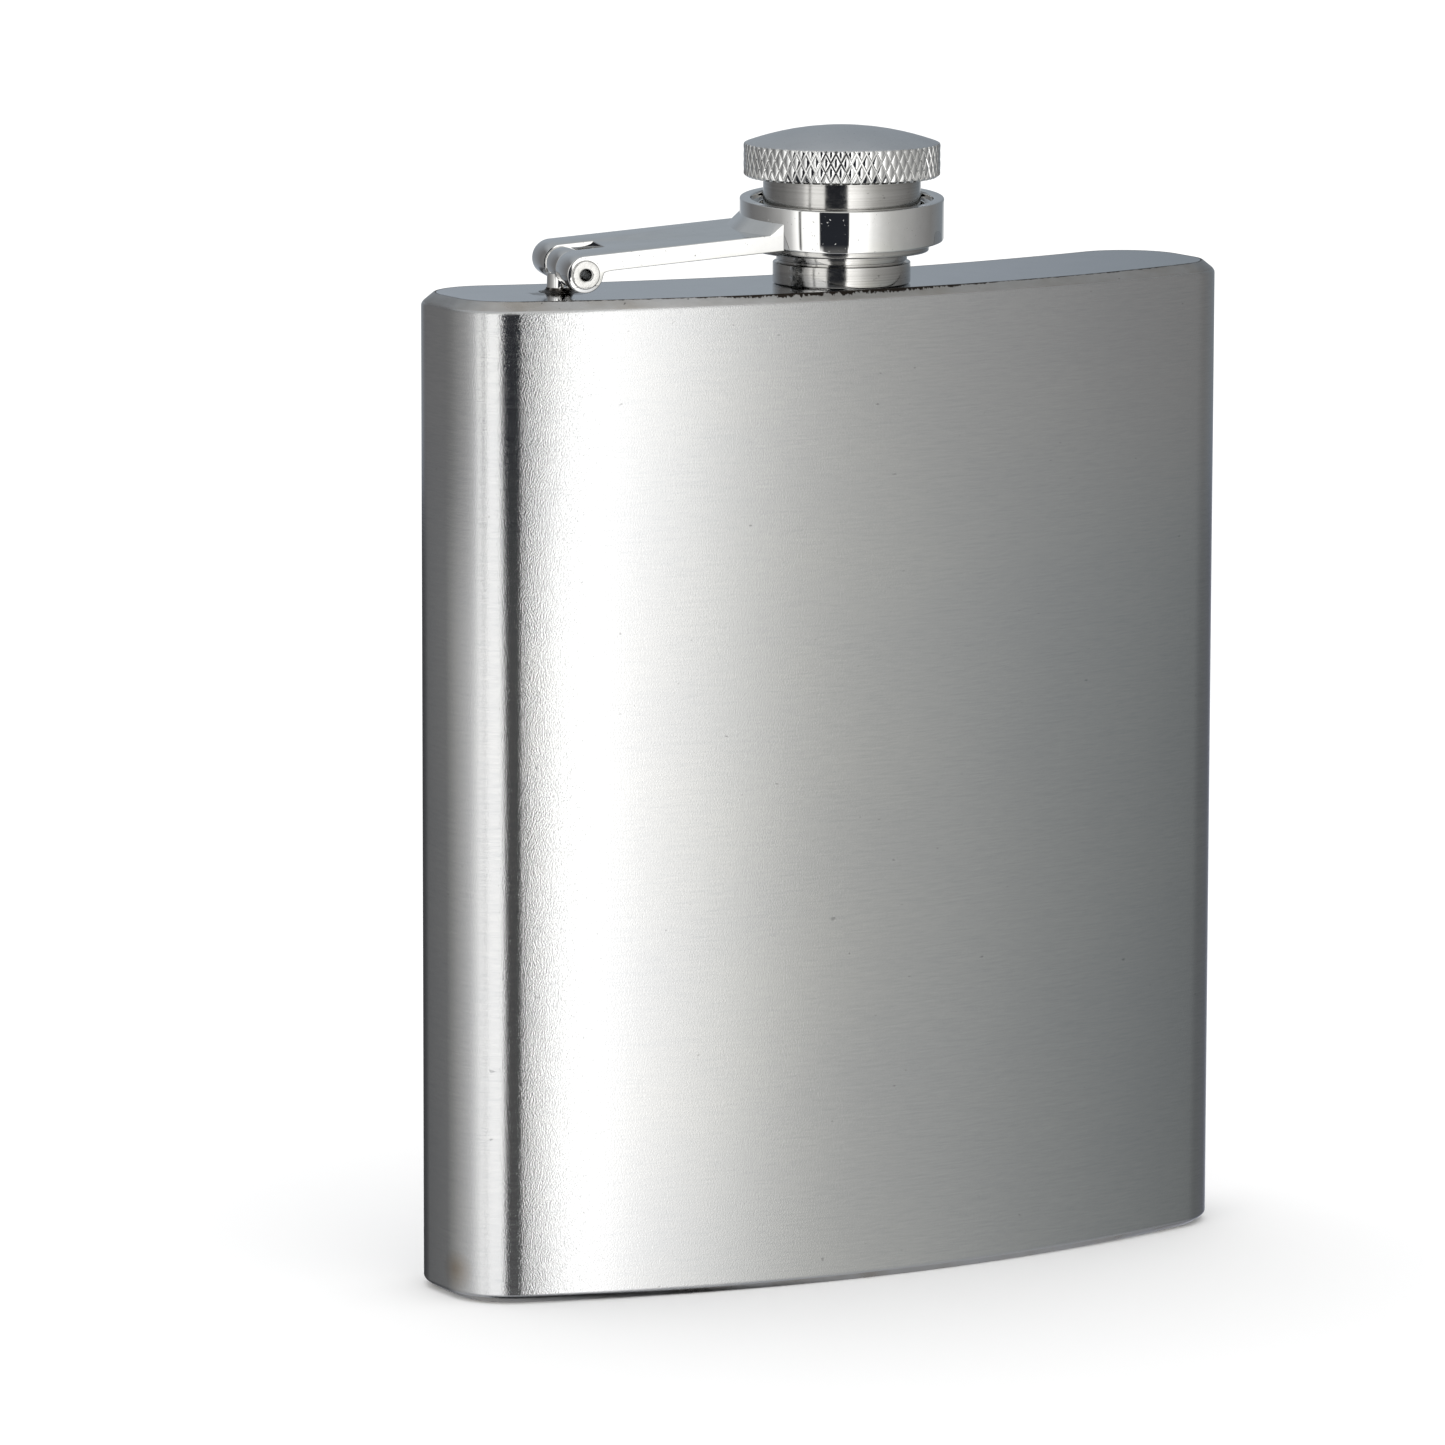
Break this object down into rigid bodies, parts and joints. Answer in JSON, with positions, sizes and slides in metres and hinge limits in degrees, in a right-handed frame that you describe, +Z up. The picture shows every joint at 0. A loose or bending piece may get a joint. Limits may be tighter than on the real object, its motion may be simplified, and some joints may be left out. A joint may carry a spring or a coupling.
{
  "type": "hip flask",
  "caption": "Curved pocket hip flask in brushed steel with a knurled screw cap held captive in the ring of a hinged arm.",
  "frame": {"origin": "middle of the base plate's underside", "axes": "+Z up through the neck; +X across the width, away from the hinge; the belly faces -Y and the hollow back faces +Y"},
  "size_m": [0.095, 0.0279, 0.1257],
  "materials": {
    "brushed_steel": "brushed along the width",
    "polished_steel": "mirror polished",
    "turned_steel": "turned and polished",
    "plated_zinc": "bright plated casting",
    "satin_cap": "satin dome with a bright knurled rim",
    "silicone": "matt translucent silicone"
  },
  "bodies": {
    "flask": {"body_shell": "brushed_steel", "bottom_plate": "brushed_steel", "top_plate": "polished_steel", "neck": "turned_steel", "hinge_post": "plated_zinc"},
    "arm": {"retaining_arm": "plated_zinc", "hinge_rivet": "plated_zinc"},
    "seal": {"sealing_washer": "silicone"},
    "cap": {"cap_head": "satin_cap", "cap_sleeve": "turned_steel", "thread_insert": "turned_steel"}
  },
  "joints": [
    {"name": "arm_swing", "type": "hinge", "parent": "flask", "child": "arm", "pos_m": [-0.03236, 0.00482, 0.11133], "axis": [-0.1906, -0.9805, -0.0471], "range_deg": [0, 165]},
    {"name": "cap_rise", "type": "slide", "parent": "arm", "child": "seal", "axis": [0, 0, 1], "range_m": [0, 0.00221]},
    {"name": "cap_turn", "type": "hinge", "parent": "seal", "child": "cap", "pos_m": [-0.002, -0.00125, 0.1], "axis": [0, 0, 1], "range_deg": [0, 720]}
  ],
  "couplings": [
    {"joint": "cap_rise", "follows": "cap_turn", "m_per_rad": 0.000175}
  ]
}
